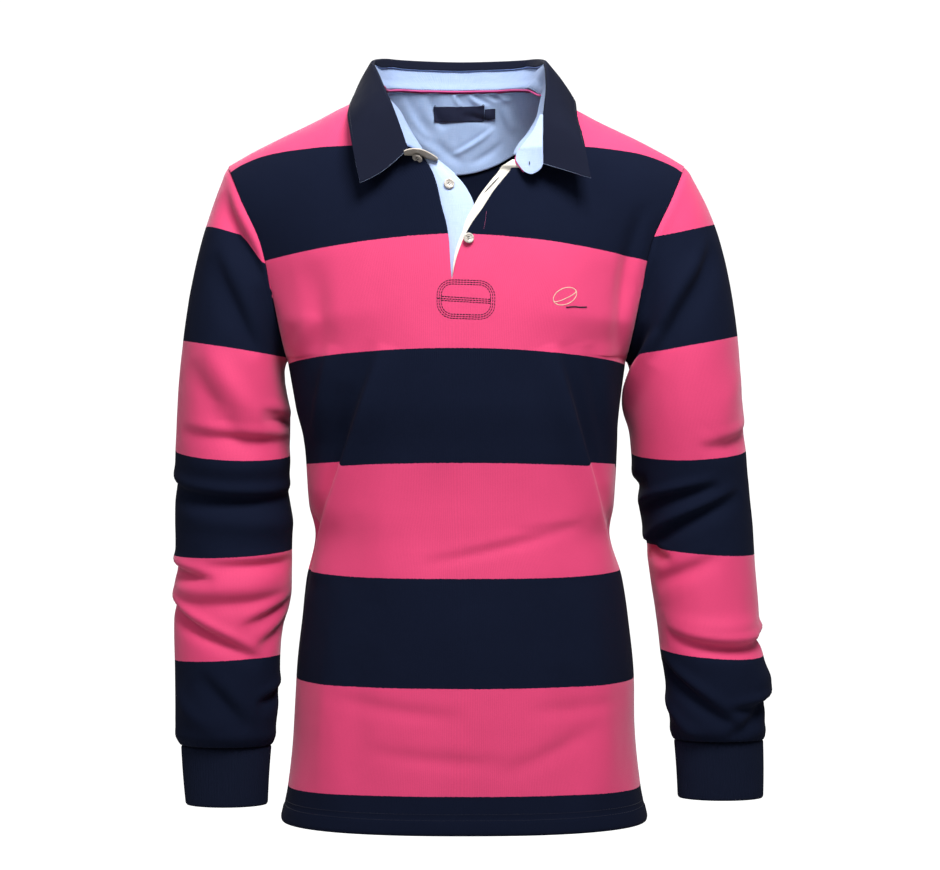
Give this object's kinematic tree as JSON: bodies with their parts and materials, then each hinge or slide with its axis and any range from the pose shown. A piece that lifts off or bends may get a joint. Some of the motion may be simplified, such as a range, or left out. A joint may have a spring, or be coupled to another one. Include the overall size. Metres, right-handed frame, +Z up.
{
  "type": "rugby shirt",
  "caption": "Long-sleeved men's rugby shirt in wide navy and pink stripes, filled out as worn, with a navy collar, an open half placket, ribbed cuffs and side vents.",
  "frame": {"origin": "middle of the neck opening, level with the high points of the shoulders, where the wearer's neck and shoulders hold the shirt", "axes": "+Z up, -Y towards the front of the shirt, +X towards the wearer's left arm"},
  "size_m": [0.6185, 0.238, 0.8022],
  "materials": {
    "jersey": "matt heavy cotton jersey in wide navy and pink stripes",
    "navy_cloth": "matt navy cotton twill and rib",
    "light_blue_cloth": "matt light blue chambray",
    "cream_cloth": "matt cream herringbone tape",
    "pink_cloth": "matt pink piping",
    "button": "pearly resin"
  },
  "bodies": {
    "root": {"front_panel": "jersey", "back_panel": "jersey", "sleeve_left": "jersey", "sleeve_right": "jersey", "cuff_left": "navy_cloth", "cuff_right": "navy_cloth", "collar_stand": "light_blue_cloth", "collar_leaf": "navy_cloth", "neck_lining": "light_blue_cloth", "neck_piping": "pink_cloth", "neck_label": "navy_cloth", "size_tab": "navy_cloth", "placket_under": "light_blue_cloth", "placket_facing": "cream_cloth", "button_neck": "button", "button_middle": "button", "button_low": "button"}
  },
  "joints": []
}
